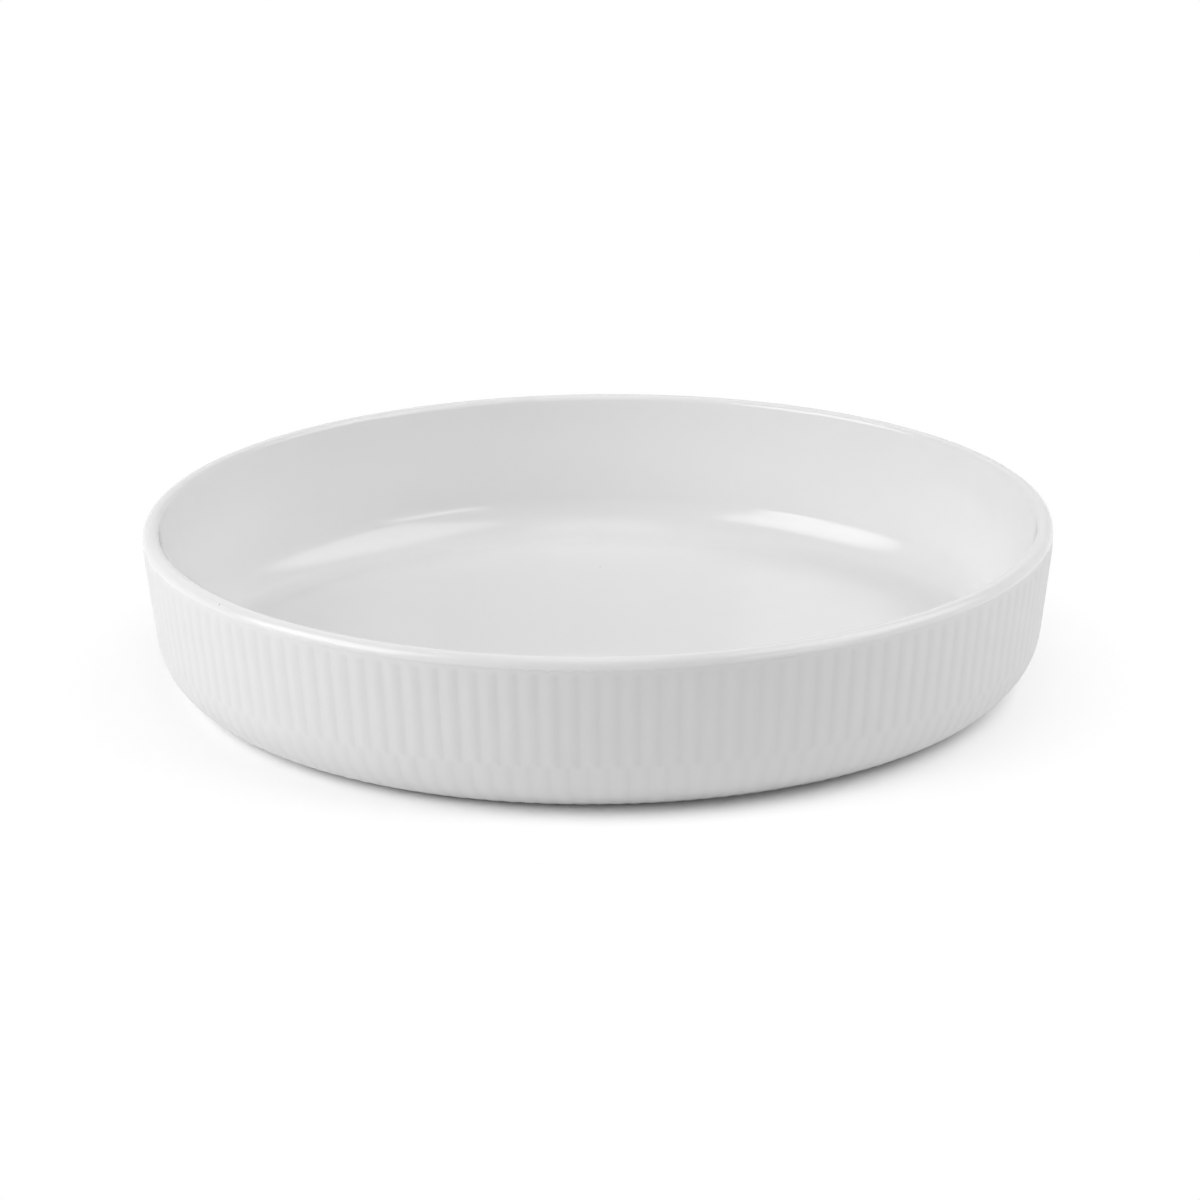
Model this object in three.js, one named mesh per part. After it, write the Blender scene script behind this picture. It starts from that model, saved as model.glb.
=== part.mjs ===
// Round fluted baking dish: a porcelain body, a gloss glaze inside and over the rim, and a gloss
// glaze in the recess underneath. The outside is bare porcelain with two tiers of flutes.
// Millimetres, +Z up, with the origin at the centre of the face that the dish rests on.

import * as THREE from 'three';

const { degToRad } = THREE.MathUtils;

// Overall sizes, over the glaze
const rimDiameter = 280;
const dishHeight = 51;

// Rim, over its glaze
const rimWidth = 4.8;
const rimOuterRound = 2.8;
const rimInnerRound = 1.8;
const bandHeight = 0.4; // plain glazed strip from the rim's outer round down to the bare wall

// Outside wall and heel, measured on the ridges between the flutes
const uprightDrop = 3.4; // how far below the band the wall stands upright before it leans in
const wallDraft = degToRad(7);
const heelRadius = 21;
const glazeStop = 0.15; // small step on the body that the glaze of the rim ends on

// Flutes
const fluteCount = 150;
const wallFluteDepth = 0.18;
const heelFluteDepth = 0.12;
const fluteRunOut = 2; // length over which a flute rises out of the wall under the band
const tierBreak = 1.5; // length over which the wall flutes give way to the heel flutes
const heelFluteEnd = degToRad(78); // how far round the heel the flutes keep their depth

// Inside
const insideDraft = degToRad(6.8);
const coveRadius = 14; // between the wall and the floor
const floorThickness = 4;

// Foot
const footWidth = 7; // flat ring that the dish rests on
const recessDepth = 0.9;

// Glaze
const glazeThickness = 0.2;
const glazeSeat = 0.05; // hairline between a coat and the body

// Facets
const plainColumns = 72;
const samplesPerFlute = 4;
const coveFacets = 4;
const rimRoundFacets = 3;
const heelRings = 3;

// Heights and radii that follow from the sizes above
const rimRadius = rimDiameter / 2;
const coat = glazeThickness + glazeSeat;
const fluteTop = dishHeight - rimOuterRound - bandHeight;
const glazeEdge = fluteTop + glazeSeat;
const ridgeRadius = rimRadius - coat + glazeStop;
const floorTop = recessDepth + floorThickness + coat;

// Points along an arc in the half plane of radius and height
function arc(centre, radius, from, to, facets) {
  const clockwise = to < from;
  return new THREE.EllipseCurve(centre.x, centre.y, radius, radius, from, to, clockwise).getPoints(facets);
}

// The inside surface from the middle of the floor, up the wall, over the lip and down the band.
// Inset 0 is the glazed surface, and larger insets lie deeper in the porcelain.
function insideProfile(inset, bandEnd) {
  const innerRound = Math.min(rimInnerRound, rimWidth - rimOuterRound);
  const lean = Math.sin(insideDraft);
  const upright = Math.cos(insideDraft);
  const wallRadius = rimRadius - rimWidth; // where the wall would meet the top of the rim
  const coveHeight = floorTop + coveRadius;
  const coveDrop = dishHeight - coveHeight + coveRadius * lean;
  const cove = new THREE.Vector2(wallRadius - coveRadius * upright - (coveDrop * lean) / upright, coveHeight);
  const innerLip = new THREE.Vector2(
    wallRadius + (innerRound * (1 - lean)) / upright,
    dishHeight - innerRound,
  );
  const outerLip = new THREE.Vector2(rimRadius - rimOuterRound, dishHeight - rimOuterRound);
  return [
    new THREE.Vector2(0, floorTop - inset),
    ...arc(cove, coveRadius + inset, -Math.PI / 2, -insideDraft, coveFacets),
    ...arc(innerLip, innerRound - inset, Math.PI - insideDraft, Math.PI / 2, rimRoundFacets),
    ...arc(outerLip, rimOuterRound - inset, Math.PI / 2, 0, rimRoundFacets),
    new THREE.Vector2(rimRadius - inset, bandEnd),
  ];
}

// A point at a part of a full turn, counted from the front of the dish
function atTurn(radius, height, turn) {
  const angle = turn * 2 * Math.PI;
  return new THREE.Vector3(radius * Math.sin(angle), -radius * Math.cos(angle), height);
}

// A plain ring, or a single point where the profile meets the axis
function plainRing({ x: radius, y: height }) {
  const columns = radius > 0 ? plainColumns : 1;
  const points = Array.from({ length: columns }, (_, i) => atTurn(radius, height, i / columns));
  return { start: 0, points };
}

// A ring of the fluted outside. Each flute is a shallow groove that narrows towards its middle, so
// that broad round ridges stand between the flutes. It is cut square to the wall, whose outward
// direction is tilted by lean. A shift of half a flute interlocks two tiers.
function fluteRing(radius, height, lean, depth, shift) {
  const columns = fluteCount * samplesPerFlute;
  const start = 0.5 / fluteCount;
  const points = [];
  for (let i = 0; i < columns; i += 1) {
    const across = (i / samplesPerFlute + shift) % 1; // 0 on a ridge, 0.5 in the middle of a flute
    const cut = depth * (1 - Math.abs(2 * across - 1)) ** 1.5;
    const turn = start + i / columns;
    points.push(atTurn(radius - cut * Math.cos(lean), height - cut * Math.sin(lean), turn));
  }
  return { start, points };
}

// A ring with one point on each ridge, where the flutes start under the band
function ridgeRing(radius, height) {
  const start = 0.5 / fluteCount;
  const points = Array.from({ length: fluteCount }, (_, i) => atTurn(radius, height, start + i / fluteCount));
  return { start, points };
}

// The strip of triangles between two rings, which may have different numbers of points
function stitch(lower, upper, lowerBase, upperBase, index) {
  const lowerSteps = lower.points.length > 1 ? lower.points.length : 0;
  const upperSteps = upper.points.length > 1 ? upper.points.length : 0;
  let i = 0;
  let j = 0;
  while (i < lowerSteps || j < upperSteps) {
    const nextLower = lower.start + (i + 0.5) / lowerSteps;
    const nextUpper = upper.start + (j + 0.5) / upperSteps;
    const a = lowerBase + (i % lower.points.length);
    const b = upperBase + (j % upper.points.length);
    if (j === upperSteps || (i < lowerSteps && nextLower <= nextUpper)) {
      i += 1;
      index.push(a, lowerBase + (i % lower.points.length), b);
    } else {
      j += 1;
      index.push(a, upperBase + (j % upper.points.length), b);
    }
  }
}

// A closed solid from rings in order, from the axis below, round the outside and back to the axis
function solidFromRings(rings) {
  const index = [];
  const bases = [];
  let count = 0;
  for (const ring of rings) {
    bases.push(count);
    count += ring.points.length;
  }
  for (let k = 0; k + 1 < rings.length; k += 1) {
    stitch(rings[k], rings[k + 1], bases[k], bases[k + 1], index);
  }
  const geometry = new THREE.BufferGeometry().setFromPoints(rings.flatMap((ring) => ring.points));
  geometry.setIndex(index);
  geometry.computeVertexNormals();
  return geometry;
}

// The heel is an arc from the leaning wall to the resting face
const leanStart = fluteTop - uprightDrop;
const leanLength = (leanStart - heelRadius * (1 - Math.sin(wallDraft))) / Math.cos(wallDraft);
const heelCentre = new THREE.Vector2(
  ridgeRadius - leanLength * Math.sin(wallDraft) - heelRadius * Math.cos(wallDraft),
  heelRadius,
);
const footInner = heelCentre.x - footWidth;
const recessRadius = footInner - recessDepth;

function heelRing(angle, depth, shift) {
  const radius = heelCentre.x + heelRadius * Math.cos(angle);
  const height = heelCentre.y - heelRadius * Math.sin(angle);
  return fluteRing(radius, height, -angle, depth, shift);
}

function heelRingsUpwards() {
  const breakEnd = wallDraft + tierBreak / heelRadius;
  const rings = [];
  for (let k = 0; k <= heelRings; k += 1) {
    const angle = heelFluteEnd + ((breakEnd - heelFluteEnd) * k) / heelRings;
    rings.push(heelRing(angle, heelFluteDepth, 0.5));
  }
  return rings;
}

function wallRingsUpwards() {
  return [
    heelRing(wallDraft, wallFluteDepth, 0),
    fluteRing(ridgeRadius, leanStart, -wallDraft / 2, wallFluteDepth, 0),
    fluteRing(ridgeRadius, fluteTop - fluteRunOut, 0, wallFluteDepth, 0),
    ridgeRing(ridgeRadius, fluteTop),
  ];
}

function bodyGeometry() {
  const underside = [
    new THREE.Vector2(0, recessDepth),
    new THREE.Vector2(recessRadius, recessDepth),
    new THREE.Vector2(footInner, 0),
    new THREE.Vector2(heelCentre.x, 0),
  ];
  return solidFromRings([
    ...underside.map(plainRing),
    ...heelRingsUpwards(),
    ...wallRingsUpwards(),
    ...insideProfile(coat, fluteTop).reverse().map(plainRing),
  ]);
}

function insideGlazeGeometry() {
  const back = insideProfile(glazeThickness, glazeEdge);
  const face = insideProfile(0, glazeEdge).reverse();
  return solidFromRings([...back, ...face].map(plainRing));
}

function undersideGlazeGeometry() {
  const back = recessDepth - glazeSeat;
  const face = back - glazeThickness;
  const edge = recessRadius - glazeSeat;
  const profile = [
    new THREE.Vector2(0, face),
    new THREE.Vector2(edge, face),
    new THREE.Vector2(edge, back),
    new THREE.Vector2(0, back),
  ];
  return solidFromRings(profile.map(plainRing));
}

const barePorcelain = new THREE.MeshStandardMaterial({ color: 0xe9e8e5, roughness: 0.6, metalness: 0 });
const glossGlaze = new THREE.MeshStandardMaterial({ color: 0xf4f4f2, roughness: 0.08, metalness: 0 });

function addPiece(group, name, geometry, material) {
  const mesh = new THREE.Mesh(geometry, material);
  mesh.name = name;
  group.add(mesh);
}

const dish = new THREE.Group();
addPiece(dish, 'porcelain_body', bodyGeometry(), barePorcelain);
addPiece(dish, 'inside_glaze', insideGlazeGeometry(), glossGlaze);
addPiece(dish, 'underside_glaze', undersideGlazeGeometry(), glossGlaze);

export default dish;
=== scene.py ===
"""Dresses the solids of a round fluted baking dish.

Mesh code makes three pieces around the solids: the bare porcelain body with its two tiers of flutes,
the gloss glaze inside and over the rim, and the gloss glaze underneath. A stage with a white floor,
soft lamps and a camera shows them. Everything is in metres, +Z up, in the frame of the solids.
"""

import math
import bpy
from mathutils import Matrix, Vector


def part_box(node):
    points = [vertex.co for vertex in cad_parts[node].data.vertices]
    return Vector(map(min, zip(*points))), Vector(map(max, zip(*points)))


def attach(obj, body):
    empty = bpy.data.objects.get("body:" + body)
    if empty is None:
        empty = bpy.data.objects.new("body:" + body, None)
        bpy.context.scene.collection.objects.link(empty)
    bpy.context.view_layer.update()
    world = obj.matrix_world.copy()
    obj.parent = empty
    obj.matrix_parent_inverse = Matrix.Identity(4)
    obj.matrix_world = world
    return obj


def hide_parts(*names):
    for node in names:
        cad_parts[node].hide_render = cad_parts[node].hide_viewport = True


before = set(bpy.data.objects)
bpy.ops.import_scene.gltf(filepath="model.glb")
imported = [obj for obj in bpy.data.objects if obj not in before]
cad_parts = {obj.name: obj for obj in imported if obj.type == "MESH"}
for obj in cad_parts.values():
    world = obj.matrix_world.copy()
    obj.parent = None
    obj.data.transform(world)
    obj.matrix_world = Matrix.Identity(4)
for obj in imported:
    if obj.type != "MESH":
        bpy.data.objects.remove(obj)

from types import SimpleNamespace

import bpy
import numpy as np
from bpy.props import FloatProperty, FloatVectorProperty, IntProperty, PointerProperty
from mathutils import Matrix, Vector

bl_info = {
    "name": "Fluted Baking Dish",
    "version": (1, 0, 0),
    "blender": (4, 5, 0),
    "location": "View3D > Sidebar > Dish",
    "description": "Makes a round fluted porcelain baking dish, its finishes and a plain stage",
    "category": "Object",
}

BODY = "root"
MM = 0.001
FLUTE_SAMPLES = 10  # columns across a flute
FLUTE_MARK = "flute_depth"  # mesh attribute that the painted shade in the flutes follows
SHARP_ANGLE = math.radians(50)
LAMP_DISTANCE = 1.6
BLACK = (0, 0, 0, 1)
WHITE = (1, 1, 1, 1)

# Boxes of the solids, straight after loading
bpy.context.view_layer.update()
rim_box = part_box("inside_glaze")
underside_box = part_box("underside_glaze")


# Kinds of setting

def length(name, description, default):
    return FloatProperty(name=name, description=description, default=default, unit="LENGTH", precision=5)


def angle(name, description, degrees):
    return FloatProperty(name=name, description=description, default=math.radians(degrees), subtype="ANGLE")


def factor(name, description, default):
    return FloatProperty(name=name, description=description, default=default, min=0, max=1, subtype="FACTOR")


def colour(name, description, default):
    return FloatVectorProperty(
        name=name, description=description, default=default, size=3, min=0, max=2, subtype="COLOR"
    )


def power(name, description, default):
    return FloatProperty(name=name, description=description, default=default, min=0, unit="POWER")


class DishShape(bpy.types.PropertyGroup):
    """Sizes of the dish. The outer sizes come from the solids"""

    rim_radius: length("Rim radius", "Outside of the rim, over its glaze", rim_box[1].x)
    dish_height: length("Dish height", "From the resting face to the top of the rim", rim_box[1].z)
    lip_width: length("Lip width", "Thickness of the wall at the top of the rim", 4.8 * MM)
    lip_outer_round: length("Lip outer round", "Radius of the rim's outer edge", 2.8 * MM)
    lip_inner_round: length("Lip inner round", "Radius of the rim's inner edge", 1.8 * MM)
    band_height: length("Band height", "Plain band from the top of the rim to the bare wall", 2.9 * MM)
    upright_drop: length("Upright drop", "How far below the band the wall stands upright", 3.7 * MM)
    lean_blend: length("Lean blend", "Length of the soft bend where the wall starts to lean", 4 * MM)
    wall_draft: angle("Wall draft", "How far the outside wall leans in", 7)
    heel_radius: length("Heel radius", "Round between the outside wall and the foot", 21 * MM)
    flute_count: IntProperty(name="Flute count", description="Flutes in each tier", default=150, min=12)
    wall_flute_depth: length("Wall flute depth", "Depth of the tall flutes", 0.19 * MM)
    heel_flute_depth: length("Heel flute depth", "Depth of the short flutes on the heel", 0.13 * MM)
    wall_flute_softness: factor("Wall flute softness", "Round in the tall flutes, in half flutes", 0.25)
    heel_flute_softness: factor("Heel flute softness", "Round in the short flutes, in half flutes", 0.22)
    flute_start: length("Flute start", "From the glaze's edge to the round end of a tall flute", 0.5 * MM)
    flute_round: length("Flute round", "Rise of the round ends of the flutes", 1.6 * MM)
    flute_run_out: length("Flute run-out", "Length over which a flute deepens", 2.2 * MM)
    tier_drop: length("Tier drop", "Middle of the tier change, below the start of the heel", 0.9 * MM)
    tier_overlap: length("Tier overlap", "Height over which the two tiers interlock", 2.4 * MM)
    heel_flute_end: angle("Heel flute end", "How far round the heel the flutes keep their depth", 78)
    inside_draft: angle("Inside draft", "How far the inside wall leans out", 6.8)
    cove_radius: length("Cove radius", "Round between the inside wall and the floor", 14 * MM)
    foot_width: length("Foot width", "Flat ring that the dish rests on", 7 * MM)
    foot_round: length("Foot round", "Radius of the edges of the recess", 0.5 * MM)
    glaze_thickness: length("Glaze thickness", "Thickness of both coats", 0.2 * MM)
    glaze_seat: length("Glaze seat", "Hairline between a coat and the porcelain", 0.05 * MM)
    glaze_stop: length("Glaze stop", "Step on the porcelain that the rim's glaze ends on", 0.15 * MM)
    glaze_feather: length("Glaze feather", "How far the coat thins out at the end of the band", 0.05 * MM)
    glaze_dip: length("Glaze dip", "How far the glaze's edge dips between flutes at most", 0.9 * MM)
    glaze_wander: length("Glaze wander", "How far the glaze's edge runs down round the dish", 0.45 * MM)


class DishFinish(bpy.types.PropertyGroup):
    """Colours and surfaces of the porcelain and the glaze"""

    porcelain_colour: colour("Porcelain colour", "Bare fired porcelain", (0.845, 0.845, 0.845))
    porcelain_roughness: factor("Porcelain roughness", "Satin of the bare porcelain", 0.5)
    # Painted shade: greys the bare porcelain deep in the flutes, standing in for the shade in their valleys
    painted_flute_shade: factor("Flute shade", "How much greyer the bare porcelain is deep in the flutes", 0.034)
    glaze_colour: colour("Glaze colour", "Porcelain seen through the clear glaze", (0.905, 0.905, 0.905))
    glaze_roughness: factor("Glaze roughness", "Gloss of the glaze", 0.045)
    speck_colour: colour("Speck colour", "Tiny iron specks in the clay", (0.3, 0.27, 0.24))
    foot_wear_colour: colour("Foot wear colour", "Grey that shelves rub on to the foot", (0.5, 0.49, 0.47))


class DishStage(bpy.types.PropertyGroup):
    """Camera, lamps and floor"""

    aim_height: length("Aim height", "Point on the dish's axis that the camera looks at", 28 * MM)
    camera_distance: length("Camera distance", "From the camera to its aim", 1.5868)
    camera_elevation: angle("Camera elevation", "Height of the camera above the horizon", 17.816)
    camera_roll: angle("Camera roll", "Turn of the camera that lifts the right of the picture", 0.557)
    camera_lens: FloatProperty(
        name="Camera lens", description="Focal length for a sensor 36 mm wide, in millimetres", default=153.73
    )
    key_power: power("Key lamp", "Large soft lamp on the left", 17.2)
    fill_power: power("Fill lamp", "Large soft lamp on the right", 13.6)
    left_spot_power: power("Left spot", "Small low lamp at the front left", 0.6)
    right_spot_power: power("Right spot", "Low lamp at the front right", 1.9)
    top_power: power("Top lamp", "Long lamp above the dish", 1.6)
    back_power: power("Back lamp", "Broad weak lamp behind the dish", 2.6)
    ambient: FloatProperty(
        name="Ambient light", description="Strength of the even light of the room", default=0.06, min=0
    )
    floor_colour: colour("Floor colour", "White floor, as it lights the dish", (1, 1, 1))
    floor_shown: colour("Floor shown", "White floor, as the camera and the gloss see it", (1.25, 1.25, 1.25))
    shadow_reach: length("Shadow reach", "How far from the dish's axis the floor keeps its shadow", 0.12)
    shadow_fade: length("Shadow fade", "Distance over which the floor then turns plain white", 0.05)


def dish_lines(shape):
    """Radii and heights that follow from the sizes."""
    lines = SimpleNamespace()
    lines.coat = shape.glaze_thickness + shape.glaze_seat
    lines.floor_top = rim_box[0].z + shape.glaze_thickness
    lines.flute_top = shape.dish_height - shape.band_height
    lines.glaze_edge = lines.flute_top + shape.glaze_seat
    lines.ridge_radius = shape.rim_radius - lines.coat + shape.glaze_stop
    heel_height = shape.heel_radius * (1 - math.sin(shape.wall_draft))
    lines.wall_length = lines.flute_top - heel_height
    lean_drop = lines.wall_length - shape.upright_drop
    lines.heel_centre = (
        lines.ridge_radius
        - lean_drop * math.tan(shape.wall_draft)
        - shape.heel_radius * math.cos(shape.wall_draft)
    )
    lines.tier_middle = lines.wall_length + shape.tier_drop
    lines.foot_inner = lines.heel_centre - shape.foot_width
    lines.recess_depth = underside_box[1].z + shape.glaze_seat
    lines.recess_radius = lines.foot_inner - lines.recess_depth
    return lines


# Mesh building

def arc(centre, radius, start, end, steps):
    """Points along an arc in the half plane of radius and height, with angles in degrees."""
    angles = np.radians(np.linspace(start, end, steps + 1))
    return np.column_stack((centre[0] + radius * np.cos(angles), centre[1] + radius * np.sin(angles)))


def ring(radius, height, turns):
    """Points of a ring, at parts of a full turn that are counted from the front of the dish."""
    angles = 2 * np.pi * turns
    points = np.empty((len(turns), 3))
    points[:, 0] = radius * np.sin(angles)
    points[:, 1] = -radius * np.cos(angles)
    points[:, 2] = height
    return points


def plain_rings(profile, columns):
    """Rings through a profile of radii and heights, with a single point where it meets the axis."""
    even = np.arange(columns) / columns
    return [ring(r, z, even if r > 0 else even[:1]) for r, z in profile]


def strip(low, high, low_base, high_base):
    """Faces between two rings, of which the second lies above the first on the outside of a piece."""
    if low == high:
        i = np.arange(low)
        j = (i + 1) % low
        return np.column_stack((low_base + i, low_base + j, high_base + j, high_base + i)).tolist()
    faces = []
    low_steps = low if low > 1 else 0
    high_steps = high if high > 1 else 0
    i = j = 0
    while i < low_steps or j < high_steps:
        corner = (low_base + i % low, high_base + j % high)
        low_next = (i + 0.5) * high_steps
        high_next = (j + 0.5) * low_steps
        if j == high_steps or (i < low_steps and low_next <= high_next):
            i += 1
            faces.append((corner[0], low_base + i % low, corner[1]))
        else:
            j += 1
            faces.append((corner[0], high_base + j % high, corner[1]))
    return faces


def closed_mesh(name, rings):
    """A smooth closed mesh from rings that run from the axis below, round the outside, to the axis."""
    bases = np.cumsum([0] + [len(points) for points in rings])
    faces = []
    for k in range(len(rings) - 1):
        faces += strip(len(rings[k]), len(rings[k + 1]), int(bases[k]), int(bases[k + 1]))
    mesh = bpy.data.meshes.new(name)
    mesh.from_pydata(np.concatenate(rings).tolist(), [], faces)
    if mesh.validate():
        raise RuntimeError(f"{name} has faulty faces")
    mesh.shade_smooth()
    mesh.set_sharp_from_angle(angle=SHARP_ANGLE)
    return mesh


def place_piece(name, mesh, material, node):
    """Puts a mesh in the scene in the place of a solid."""
    piece = bpy.data.objects.new(name, mesh)
    bpy.context.scene.collection.objects.link(piece)
    mesh.materials.append(material)
    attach(piece, BODY)
    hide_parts(node)


# Shape of the porcelain body

def from_middle(across):
    """0 in the middle of a flute and 1 on the crests beside it, where across is a whole number."""
    return np.abs(2 * (across % 1) - 1)


def flute_section(across, softness):
    """Depth across a flute: 1 in its narrow middle and 0 on the broad round crests."""
    soft = np.sqrt(from_middle(across) ** 2 + softness**2) - softness
    highest = math.sqrt(1 + softness**2) - softness
    return (1 - soft / highest) ** 2


def round_end(across):
    """Outline of the round end of a flute: 0 in its middle and 1 on the crests."""
    return 1 - np.sqrt(np.clip(1 - from_middle(across) ** 2, 0, 1))


def glaze_line(shape, turns):
    """How far the glaze's edge runs down below the band, more in some places than in others."""
    angle = 2 * np.pi * turns
    few_waves = np.cos(3 * angle)
    many_waves = np.cos(8 * angle)
    unevenness = ((2 + few_waves + many_waves) / 4) ** 2
    least = 0.15
    share = least + (1 - least) * unevenness
    dip = shape.glaze_dip * share * round_end(turns * shape.flute_count + 0.5)
    wander_turn = 0.35
    return dip + shape.glaze_wander * (1 + np.cos(2 * angle - wander_turn)) / 2


def ease(value):
    """Smooth step from 0 to 1."""
    part = np.clip(value, 0, 1)
    return part * part * (3 - 2 * part)


def ridge_line(shape, lines, down):
    """Radius, height and tilt of the ridges at a distance down the outside from the flutes' top."""
    half = shape.lean_blend / 2
    past = down - shape.upright_drop
    bend = np.clip((past + half) / shape.lean_blend, 0, 1)
    leaning = np.where(past > half, past, bend**2 * half)
    slope = math.tan(shape.wall_draft)
    wall_radius = lines.ridge_radius - slope * leaning
    heel_angle = shape.wall_draft + np.maximum(down - lines.wall_length, 0) / shape.heel_radius
    on_heel = down > lines.wall_length
    radius = np.where(on_heel, lines.heel_centre + shape.heel_radius * np.cos(heel_angle), wall_radius)
    height = np.where(on_heel, shape.heel_radius * (1 - np.sin(heel_angle)), lines.flute_top - down)
    tilt = np.where(on_heel, heel_angle, np.arctan(slope * bend))
    return radius, height, tilt


def flute_cut(shape, lines, across, down):
    """Depth of the flutes below the ridges, for the tall tier and the short one on the heel."""
    tall = flute_section(across, shape.wall_flute_softness)
    short = flute_section(across + 0.5, shape.heel_flute_softness)
    top_end = shape.flute_start + shape.flute_round * round_end(across)
    tall_end = lines.tier_middle + shape.tier_overlap / 2 - shape.flute_round * round_end(across)
    short_start = lines.tier_middle - shape.tier_overlap / 2 + shape.flute_round * round_end(across + 0.5)
    tall = tall * ease((down - top_end) / shape.flute_run_out)
    tall = tall * ease((tall_end - down) / shape.flute_run_out)
    short = short * ease((down - short_start) / shape.flute_run_out)
    heel_angle = shape.wall_draft + (down - lines.wall_length) / shape.heel_radius
    flat_angle = math.pi / 2
    fade = 1 - ease((heel_angle - shape.heel_flute_end) / (flat_angle - shape.heel_flute_end))
    return shape.wall_flute_depth * tall + shape.heel_flute_depth * fade * short


def flute_columns(count, samples):
    """Places of the columns in parts of a turn, closer together in the flutes of both tiers."""
    closeness = 0.6
    even = np.arange(samples) / samples
    spread = even - closeness * np.sin(4 * np.pi * even) / (4 * np.pi)
    return (np.arange(count)[:, None] + spread[None, :]).ravel() / count


def ring_levels(shape, lines, turns):
    """How far down the outside each ring lies, from the glaze's edge to the foot."""
    edge = glaze_line(shape, turns)
    level = np.ones_like(turns)
    top_end = shape.flute_start + shape.flute_round + shape.flute_run_out
    top_steps = 12
    downs = [edge * (1 - part) + top_end * part for part in np.linspace(0, 1, top_steps + 1)]
    tier_reach = shape.tier_overlap / 2 + shape.flute_round
    tier_start = lines.tier_middle - tier_reach
    tier_end = lines.tier_middle + tier_reach
    flutes_end = lines.wall_length + (shape.heel_flute_end - shape.wall_draft) * shape.heel_radius
    foot_edge = lines.wall_length + (math.pi / 2 - shape.wall_draft) * shape.heel_radius
    stretches = (
        (top_end, tier_start, 7),
        (tier_start, tier_end, 12),
        (tier_end, flutes_end, 14),
        (flutes_end, foot_edge, 5),
    )
    for start, end, steps in stretches:
        downs += [down * level for down in np.linspace(start, end, steps + 1)[1:]]
    return downs


def outside_rings(shape, lines):
    """Rings of the fluted outside, from the glaze's edge down to the foot, and how deep each is cut."""
    turns = flute_columns(shape.flute_count, FLUTE_SAMPLES)
    across = turns * shape.flute_count + 0.5
    rings = []
    cuts = []
    for down in ring_levels(shape, lines, turns):
        radius, height, tilt = ridge_line(shape, lines, down)
        cut = flute_cut(shape, lines, across, down)
        rings.append(ring(radius - cut * np.cos(tilt), height + cut * np.sin(tilt), turns))
        cuts.append(cut)
    return rings, cuts


def mark_flutes(mesh, first, depths):
    """Stores how deep in a flute each point lies, from the first point of the fluted outside."""
    values = np.zeros(len(mesh.vertices))
    values[first:first + len(depths)] = depths
    mesh.attributes.new(FLUTE_MARK, "FLOAT", "POINT").data.foreach_set("value", values)


def foot_profile(shape, lines):
    """Underside of the body from its axis, across the recess, to the foot's flat ring."""
    tangent = shape.foot_round * math.tan(math.pi / 8)
    top = (lines.recess_radius - tangent, lines.recess_depth - shape.foot_round)
    bottom = (lines.foot_inner + tangent, shape.foot_round)
    middle = [(part * lines.recess_radius, lines.recess_depth) for part in (0, 0.5)]
    flat = [((lines.foot_inner + lines.heel_centre) / 2, 0)]
    return [
        *middle,
        *arc(top, shape.foot_round, 90, 45, 4),
        *arc(bottom, shape.foot_round, -135, -90, 4),
        *flat,
    ]


# Shape of the inside

def inside_profile(shape, lines, inset, fineness):
    """The inside from the middle of the floor, up the wall and on to the top of the lip.

    Inset 0 is the glazed surface, and larger insets lie deeper.
    """
    draft = math.degrees(shape.inside_draft)
    lean = math.sin(shape.inside_draft)
    upright = math.cos(shape.inside_draft)
    wall_radius = shape.rim_radius - shape.lip_width
    cove_height = lines.floor_top + shape.cove_radius
    cove_drop = shape.dish_height - cove_height + shape.cove_radius * lean
    cove = (wall_radius - shape.cove_radius * upright - cove_drop * lean / upright, cove_height)
    inner_lip = (
        wall_radius + shape.lip_inner_round * (1 - lean) / upright,
        shape.dish_height - shape.lip_inner_round,
    )
    floor = [(cove[0] * part, lines.floor_top - inset) for part in np.linspace(0, 1, 3 * fineness + 1)[:-1]]
    cove_arc = arc(cove, shape.cove_radius + inset, -90, -draft, 7 * fineness)
    inner_arc = arc(inner_lip, shape.lip_inner_round - inset, 180 - draft, 90, 4 * fineness)
    wall = np.linspace(cove_arc[-1], inner_arc[0], 2 * fineness + 1)[1:-1]
    return [*floor, *cove_arc, *wall, *inner_arc]


def outer_lip_profile(shape, inset, fineness):
    """The round outer edge of the lip, from its top down to the band."""
    centre = (shape.rim_radius - shape.lip_outer_round, shape.dish_height - shape.lip_outer_round)
    return arc(centre, shape.lip_outer_round - inset, 90, 0, 4 * fineness)


def band_rings(shape, lines, turns):
    """Rings of the glazed band under the lip, which thins out softly to the coat's uneven edge."""
    start = shape.dish_height - shape.lip_outer_round
    edge = lines.glaze_edge - glaze_line(shape, turns)
    rings = []
    for part in np.linspace(0, 1, 7)[1:]:
        thinning = shape.glaze_feather * ease(2 * part - 1)
        rings.append(ring(shape.rim_radius - thinning, start + (edge - start) * part, turns))
    return rings


# Materials

def add_node(tree, kind, inputs=None, **settings):
    """Adds a node with settings, and inputs that are values or sockets to link."""
    node = tree.nodes.new(kind)
    for name, value in settings.items():
        setattr(node, name, value)
    for name, value in (inputs or {}).items():
        if isinstance(value, bpy.types.NodeSocket):
            tree.links.new(value, node.inputs[name])
        else:
            node.inputs[name].default_value = value
    return node


def calculate(tree, operation, *values):
    """Output of a math node for values or sockets."""
    return add_node(tree, "ShaderNodeMath", dict(enumerate(values)), operation=operation).outputs[0]


def blend(tree, share, first, second):
    """Output of a node that blends a second colour into a first."""
    inputs = {"Factor": share, "A": first, "B": second}
    return add_node(tree, "ShaderNodeMix", inputs, data_type="RGBA").outputs["Result"]


def noise(tree, place, scale, detail):
    """Output of a soft noise from 0 to 1."""
    inputs = {"Vector": place, "Scale": scale, "Detail": detail}
    return add_node(tree, "ShaderNodeTexNoise", inputs).outputs["Fac"]


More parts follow.
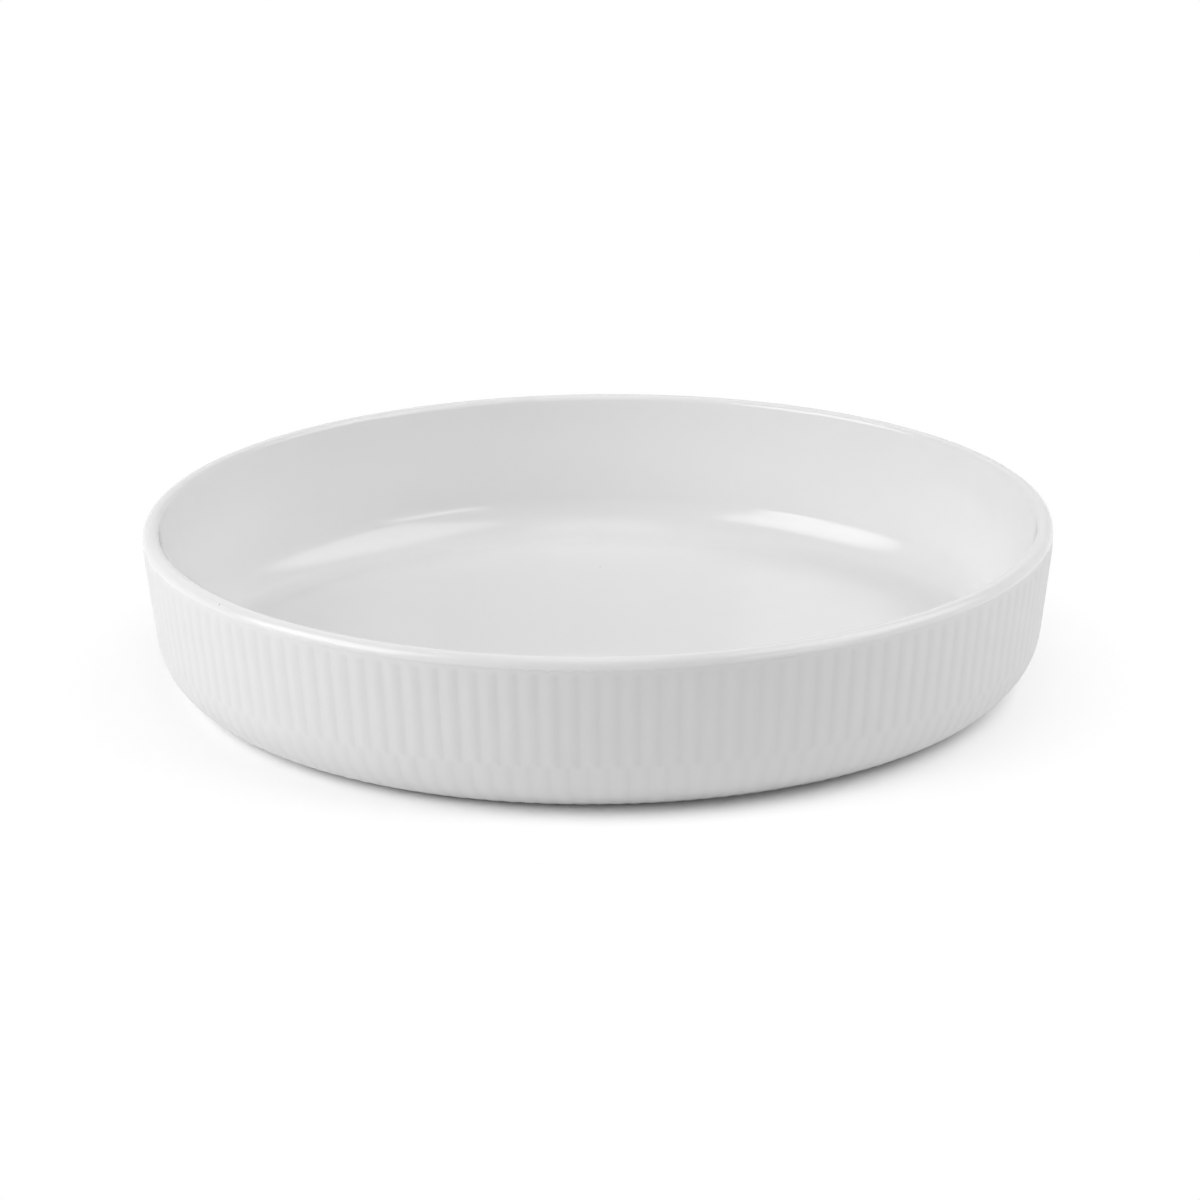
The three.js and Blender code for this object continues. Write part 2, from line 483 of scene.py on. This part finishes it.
def object_place(tree):
    """Place on the object, in metres."""
    return add_node(tree, "ShaderNodeTexCoord").outputs["Object"]


def new_group(name, inputs, outputs):
    """A shader node group with its inputs, as sockets to link from, and its outputs, to link to."""
    group = bpy.data.node_groups.new(name, "ShaderNodeTree")
    for socket_name, kind in inputs:
        group.interface.new_socket(socket_name, in_out="INPUT", socket_type=kind)
    for socket_name, kind in outputs:
        group.interface.new_socket(socket_name, in_out="OUTPUT", socket_type=kind)
    given = group.nodes.new("NodeGroupInput").outputs
    result = group.nodes.new("NodeGroupOutput").inputs
    return group, given, result


def fired_tone_group():
    """Faint clouds of tone and rare tiny specks, as in any fired white clay."""
    name = "Fired Tone"
    if name in bpy.data.node_groups:
        return bpy.data.node_groups[name]
    inputs = (
        ("Base", "NodeSocketColor"),
        ("Speck", "NodeSocketColor"),
        ("Cloud Scale", "NodeSocketFloat"),
        ("Cloud Strength", "NodeSocketFloat"),
        ("Speck Share", "NodeSocketFloat"),
    )
    group, given, result = new_group(name, inputs, [("Color", "NodeSocketColor")])
    place = object_place(group)
    clouds = noise(group, place, given["Cloud Scale"], 3.0)
    dimming = calculate(group, "MULTIPLY", clouds, given["Cloud Strength"])
    dimmed = blend(group, dimming, given["Base"], BLACK)
    speck_cells = 90.0
    speck_radius = 0.022
    cells = add_node(group, "ShaderNodeTexVoronoi", {"Vector": place, "Scale": speck_cells}).outputs
    near = calculate(group, "LESS_THAN", cells["Distance"], speck_radius)
    draw = add_node(group, "ShaderNodeSeparateColor", {"Color": cells["Color"]}).outputs["Red"]
    chosen = calculate(group, "LESS_THAN", draw, given["Speck Share"])
    speck = calculate(group, "MULTIPLY", near, chosen)
    group.links.new(blend(group, speck, dimmed, given["Speck"]), result["Color"])
    return group


def fired_surface_group():
    """Height of a surface that dried and fired a little uneven, and a roughness that varies with it."""
    name = "Fired Surface"
    if name in bpy.data.node_groups:
        return bpy.data.node_groups[name]
    inputs = (
        ("Wave Scale", "NodeSocketFloat"),
        ("Grain Scale", "NodeSocketFloat"),
        ("Grain Share", "NodeSocketFloat"),
        ("Least Roughness", "NodeSocketFloat"),
        ("Most Roughness", "NodeSocketFloat"),
    )
    outputs = (("Height", "NodeSocketFloat"), ("Roughness", "NodeSocketFloat"))
    group, given, result = new_group(name, inputs, outputs)
    place = object_place(group)
    waves = noise(group, place, given["Wave Scale"], 1.0)
    grain = noise(group, place, given["Grain Scale"], 4.0)
    mixed = {"Factor": given["Grain Share"], "A": waves, "B": grain}
    height = add_node(group, "ShaderNodeMix", mixed).outputs["Result"]
    spread = {
        "Value": grain,
        "From Min": 0.3,
        "From Max": 0.7,
        "To Min": given["Least Roughness"],
        "To Max": given["Most Roughness"],
    }
    roughness = add_node(group, "ShaderNodeMapRange", spread).outputs["Result"]
    group.links.new(height, result["Height"])
    group.links.new(roughness, result["Roughness"])
    return group


def new_material(name):
    """A material with only a Principled shader, which is returned with it."""
    material = bpy.data.materials.new(name)
    material.use_nodes = True
    return material, material.node_tree.nodes["Principled BSDF"]


def rgba(value):
    return (*value, 1.0)


def link_surface(tree, shader, colour, surface, bump_height):
    """Gives a Principled shader its colour, and its roughness and bumps from a fired surface."""
    bump = add_node(tree, "ShaderNodeBump", {"Height": surface["Height"], "Distance": bump_height})
    tree.links.new(colour, shader.inputs["Base Color"])
    tree.links.new(surface["Roughness"], shader.inputs["Roughness"])
    tree.links.new(bump.outputs["Normal"], shader.inputs["Normal"])


def with_painted_flute_shade(tree, colour, finish):
    """A colour with painted shade, which turns greyer deep in the flutes where the valleys would lie in
    shade.
    """
    depth = add_node(tree, "ShaderNodeAttribute", attribute_name=FLUTE_MARK).outputs["Fac"]
    return blend(tree, calculate(tree, "MULTIPLY", depth, finish.painted_flute_shade), colour, BLACK)


def worn_foot(tree, colour, finish):
    """A colour that turns to the grey of wear in scuffs on the resting face."""
    place = object_place(tree)
    height = add_node(tree, "ShaderNodeSeparateXYZ", {"Vector": place}).outputs["Z"]
    wear_height = 0.4 * MM
    near_shelf = {"Value": height, "From Min": 0.0, "From Max": wear_height, "To Min": 1.0, "To Max": 0.0}
    low = add_node(tree, "ShaderNodeMapRange", near_shelf).outputs["Result"]
    scuffs = noise(tree, place, 400.0, 3.0)
    wear = calculate(tree, "MULTIPLY", low, scuffs)
    return blend(tree, wear, colour, rgba(finish.foot_wear_colour))


def porcelain_material(finish):
    """Bare porcelain, polished to a soft satin, with painted shade deep in the flutes and worn on the foot.
    """
    material, shader = new_material("Bare porcelain")
    tree = material.node_tree
    tone = {
        "Base": rgba(finish.porcelain_colour),
        "Speck": rgba(finish.speck_colour),
        "Cloud Scale": 35.0,
        "Cloud Strength": 0.03,
        "Speck Share": 0.05,
    }
    unevenness = 0.05
    satin = {
        "Wave Scale": 60.0,
        "Grain Scale": 2500.0,
        "Grain Share": 0.3,
        "Least Roughness": finish.porcelain_roughness - unevenness,
        "Most Roughness": finish.porcelain_roughness + unevenness,
    }
    toned = add_node(tree, "ShaderNodeGroup", tone, node_tree=fired_tone_group()).outputs["Color"]
    surface = add_node(tree, "ShaderNodeGroup", satin, node_tree=fired_surface_group()).outputs
    # Painted shade in the flutes first, then real wear on the foot
    colour = worn_foot(tree, with_painted_flute_shade(tree, toned, finish), finish)
    link_surface(tree, shader, colour, surface, bump_height=0.01 * MM)
    return material


def glaze_material(finish):
    """Clear gloss glaze over white porcelain, with a faintly uneven surface."""
    name = "Gloss glaze"
    if name in bpy.data.materials:
        return bpy.data.materials[name]
    material, shader = new_material(name)
    tree = material.node_tree
    tone = {
        "Base": rgba(finish.glaze_colour),
        "Speck": rgba(finish.speck_colour),
        "Cloud Scale": 18.0,
        "Cloud Strength": 0.02,
        "Speck Share": 0.06,
    }
    unevenness = 0.02
    gloss = {
        "Wave Scale": 45.0,
        "Grain Scale": 260.0,
        "Grain Share": 0.15,
        "Least Roughness": finish.glaze_roughness - unevenness,
        "Most Roughness": finish.glaze_roughness + unevenness,
    }
    toned = add_node(tree, "ShaderNodeGroup", tone, node_tree=fired_tone_group()).outputs["Color"]
    surface = add_node(tree, "ShaderNodeGroup", gloss, node_tree=fired_surface_group()).outputs
    link_surface(tree, shader, toned, surface, bump_height=0.04 * MM)
    return material


# Stage

def around(azimuth, elevation, distance):
    """A place round the dish, at an azimuth from the front towards the right, both in degrees."""
    turn = math.radians(azimuth)
    rise = math.radians(elevation)
    flat = math.cos(rise)
    return Vector((math.sin(turn) * flat, -math.cos(turn) * flat, math.sin(rise))) * distance


def soften_edges(data):
    """Lets a lamp fade towards its edges without changing its power, like a bulb behind cloth."""
    data.use_nodes = True
    tree = data.node_tree
    place = add_node(tree, "ShaderNodeNewGeometry").outputs["Parametric"]
    across = add_node(tree, "ShaderNodeSeparateXYZ", {"Vector": place}).outputs
    steepness = 4.0
    peak = (steepness + 1) / steepness
    fades = []
    for name in ("X", "Y"):
        side = calculate(tree, "MULTIPLY_ADD", across[name], 2.0, -1.0)
        steep = calculate(tree, "POWER", side, steepness)
        fades.append(calculate(tree, "MULTIPLY_ADD", steep, -peak, peak))
    tree.links.new(calculate(tree, "MULTIPLY", *fades), tree.nodes["Emission"].inputs["Strength"])


def add_lamp(name, place, aim, width, height, watts):
    """A soft lamp that faces its aim and that the camera doesn't see."""
    data = bpy.data.lights.new(name, "AREA")
    data.shape = "RECTANGLE"
    data.size = width
    data.size_y = height
    data.energy = watts
    soften_edges(data)
    lamp = bpy.data.objects.new(name, data)
    lamp.location = place
    lamp.rotation_mode = "QUATERNION"
    lamp.rotation_quaternion = (aim - place).to_track_quat("-Z", "Y")
    lamp.visible_camera = False
    bpy.context.scene.collection.objects.link(lamp)


def shown_mask(tree):
    """1 where the camera, a mirror or a glass sees the surface or the sky, and 0 where it lights."""
    path = add_node(tree, "ShaderNodeLightPath").outputs
    seen = calculate(tree, "MAXIMUM", path["Is Camera Ray"], path["Is Glossy Ray"])
    return calculate(tree, "MAXIMUM", seen, path["Is Transmission Ray"])


def make_room(stage):
    """White surroundings, which light the dish evenly."""
    world = bpy.data.worlds.new("Studio")
    world.use_nodes = True
    tree = world.node_tree
    strength = add_node(
        tree, "ShaderNodeMix", {"Factor": shown_mask(tree), "A": stage.ambient, "B": 1.0}
    )
    background = tree.nodes["Background"]
    background.inputs["Color"].default_value = WHITE
    tree.links.new(strength.outputs["Result"], background.inputs["Strength"])
    bpy.context.scene.world = world


def floor_material(stage):
    """White paint that keeps the shadow of the dish and is seen as plain white further out."""
    material = bpy.data.materials.new("White floor")
    material.use_nodes = True
    tree = material.node_tree
    tree.nodes.remove(tree.nodes["Principled BSDF"])
    seen = blend(tree, shown_mask(tree), rgba(stage.floor_colour), rgba(stage.floor_shown))
    paint = add_node(tree, "ShaderNodeBsdfDiffuse", {"Color": seen})
    plain = add_node(tree, "ShaderNodeEmission", {"Color": WHITE, "Strength": 1.0})
    distance = add_node(tree, "ShaderNodeVectorMath", {0: object_place(tree)}, operation="LENGTH")
    fade = {
        "Value": distance.outputs["Value"],
        "From Min": stage.shadow_reach,
        "From Max": stage.shadow_reach + stage.shadow_fade,
    }
    far = add_node(tree, "ShaderNodeMapRange", fade, interpolation_type="SMOOTHSTEP").outputs["Result"]
    share = calculate(tree, "MULTIPLY", far, shown_mask(tree))
    shaders = {0: share, 1: paint.outputs["BSDF"], 2: plain.outputs["Emission"]}
    surface = add_node(tree, "ShaderNodeMixShader", shaders).outputs["Shader"]
    tree.links.new(surface, tree.nodes["Material Output"].inputs["Surface"])
    return material


def make_floor(stage):
    """A square floor that the dish stands on."""
    half = 4.0
    corners = [(-half, -half, 0), (half, -half, 0), (half, half, 0), (-half, half, 0)]
    mesh = bpy.data.meshes.new("floor")
    mesh.from_pydata(corners, [], [(0, 1, 2, 3)])
    floor = bpy.data.objects.new("floor", mesh)
    bpy.context.scene.collection.objects.link(floor)
    mesh.materials.append(floor_material(stage))


def make_camera(stage):
    """The camera in front of the dish, with the picture's centre moved as in the photograph."""
    data = bpy.data.cameras.new("camera")
    data.sensor_width = 36
    data.lens = stage.camera_lens
    picture_width = 1200
    aim_x = 598.523
    aim_y = 585.749
    data.shift_x = (picture_width / 2 - aim_x) / picture_width
    data.shift_y = (aim_y - picture_width / 2) / picture_width
    camera = bpy.data.objects.new("camera", data)
    aim = Vector((0, 0, stage.aim_height))
    place = aim + around(0, math.degrees(stage.camera_elevation), stage.camera_distance)
    turn = (aim - place).to_track_quat("-Z", "Y").to_matrix().to_4x4()
    roll = Matrix.Rotation(-stage.camera_roll, 4, "Z")
    camera.matrix_world = Matrix.Translation(place) @ turn @ roll
    bpy.context.scene.collection.objects.link(camera)
    bpy.context.scene.camera = camera


def make_lamps(stage):
    """Large soft lamps round and above the dish, and two small ones that the inside mirrors."""
    aim = Vector((0, 0, stage.aim_height))
    add_lamp("key_lamp", around(-72, 31, LAMP_DISTANCE), aim, 1.6, 1.4, stage.key_power)
    add_lamp("fill_lamp", around(86, 47, LAMP_DISTANCE), aim, 1.8, 1.5, stage.fill_power)
    add_lamp("left_spot", around(-57, 13, LAMP_DISTANCE), aim, 0.6, 0.3, stage.left_spot_power)
    add_lamp("right_spot", around(48, 13, LAMP_DISTANCE), aim, 0.9, 0.4, stage.right_spot_power)
    add_lamp("top_lamp", around(0, 82, LAMP_DISTANCE), aim, 0.6, 1.3, stage.top_power)
    add_lamp("back_lamp", around(180, 50, LAMP_DISTANCE), aim, 1.9, 1.9, stage.back_power)


# Operators

class DISH_OT_porcelain_body(bpy.types.Operator):
    """Make the porcelain body with its flutes and foot"""

    bl_idname = "dish.porcelain_body"
    bl_label = "Porcelain Body"
    bl_options = {"REGISTER", "UNDO"}

    def execute(self, context):
        shape = context.scene.dish_shape
        lines = dish_lines(shape)
        underside = plain_rings(foot_profile(shape, lines), 2 * shape.flute_count)
        rings, cuts = outside_rings(shape, lines)
        outside = rings[::-1]
        turns = flute_columns(shape.flute_count, FLUTE_SAMPLES)
        ledge = ring(shape.rim_radius - lines.coat, lines.flute_top - glaze_line(shape, turns), turns)
        under_glaze = inside_profile(shape, lines, lines.coat, fineness=2)
        under_lip = outer_lip_profile(shape, lines.coat, fineness=1)
        core = plain_rings([*under_glaze, *under_lip][::-1], shape.flute_count)
        mesh = closed_mesh("porcelain_body_mesh", underside + outside + [ledge] + core)
        first = sum(len(points) for points in underside)
        mark_flutes(mesh, first, np.concatenate(cuts[::-1]) / shape.wall_flute_depth)
        material = porcelain_material(context.scene.dish_finish)
        place_piece("fluted_body", mesh, material, "porcelain_body")
        return {"FINISHED"}


class DISH_OT_inside_glaze(bpy.types.Operator):
    """Make the gloss coat on the floor, the inside wall, the lip and the band under it"""

    bl_idname = "dish.inside_glaze"
    bl_label = "Inside Glaze"
    bl_options = {"REGISTER", "UNDO"}

    def execute(self, context):
        shape = context.scene.dish_shape
        lines = dish_lines(shape)
        turns = flute_columns(shape.flute_count, FLUTE_SAMPLES)
        thickness = shape.glaze_thickness
        back = inside_profile(shape, lines, thickness, fineness=2)
        back_lip = outer_lip_profile(shape, thickness, fineness=1)
        edge = ring(shape.rim_radius - thickness, lines.glaze_edge - glaze_line(shape, turns), turns)
        outer_lip = [ring(r, z, turns) for r, z in outer_lip_profile(shape, 0, fineness=3)]
        band = band_rings(shape, lines, turns)
        face = inside_profile(shape, lines, 0, fineness=4)
        columns = 2 * shape.flute_count
        outside = (outer_lip + band)[::-1]
        rings = plain_rings([*back, *back_lip], columns) + [edge] + outside + plain_rings(face[::-1], columns)
        mesh = closed_mesh("inside_glaze_mesh", rings)
        material = glaze_material(context.scene.dish_finish)
        place_piece("inside_coat", mesh, material, "inside_glaze")
        return {"FINISHED"}


class DISH_OT_underside_glaze(bpy.types.Operator):
    """Make the gloss coat in the recess inside the foot"""

    bl_idname = "dish.underside_glaze"
    bl_label = "Underside Glaze"
    bl_options = {"REGISTER", "UNDO"}

    def execute(self, context):
        low, high = underside_box
        edge_round = (high.z - low.z) / 2
        middle = (high.x - edge_round, low.z + edge_round)
        parts = (0, 0.25, 0.5, 0.75)
        face = [(middle[0] * part, low.z) for part in parts]
        edge = arc(middle, edge_round, -90, 90, 8)
        back = [(middle[0] * part, high.z) for part in parts[::-1]]
        columns = 240
        mesh = closed_mesh("underside_glaze_mesh", plain_rings([*face, *edge, *back], columns))
        material = glaze_material(context.scene.dish_finish)
        place_piece("underside_coat", mesh, material, "underside_glaze")
        return {"FINISHED"}


class DISH_OT_stage(bpy.types.Operator):
    """Make the floor, the lamps, the surroundings and the camera"""

    bl_idname = "dish.stage"
    bl_label = "Stage"
    bl_options = {"REGISTER", "UNDO"}

    def execute(self, context):
        stage = context.scene.dish_stage
        make_room(stage)
        make_floor(stage)
        make_lamps(stage)
        make_camera(stage)
        context.scene.view_settings.view_transform = "Standard"
        return {"FINISHED"}


class DISH_PT_maker(bpy.types.Panel):
    """Settings of the dish and the steps that make it"""

    bl_idname = "DISH_PT_maker"
    bl_label = "Baking Dish"
    bl_space_type = "VIEW_3D"
    bl_region_type = "UI"
    bl_category = "Dish"

    def draw(self, context):
        scene = context.scene
        for settings in (scene.dish_shape, scene.dish_finish, scene.dish_stage):
            box = self.layout.box()
            for name in settings.__annotations__:
                box.prop(settings, name)
        for step in STEPS:
            self.layout.operator(step.bl_idname)


SETTINGS = {"dish_shape": DishShape, "dish_finish": DishFinish, "dish_stage": DishStage}
STEPS = (DISH_OT_porcelain_body, DISH_OT_inside_glaze, DISH_OT_underside_glaze, DISH_OT_stage)
CLASSES = (*SETTINGS.values(), *STEPS, DISH_PT_maker)


def register():
    for made in CLASSES:
        bpy.utils.register_class(made)
    for name, group in SETTINGS.items():
        setattr(bpy.types.Scene, name, PointerProperty(type=group))


def unregister():
    for name in SETTINGS:
        delattr(bpy.types.Scene, name)
    for made in reversed(CLASSES):
        bpy.utils.unregister_class(made)


def main():
    register()
    bpy.ops.dish.porcelain_body()
    bpy.ops.dish.inside_glaze()
    bpy.ops.dish.underside_glaze()
    bpy.ops.dish.stage()


if __name__ == "__main__":
    main()
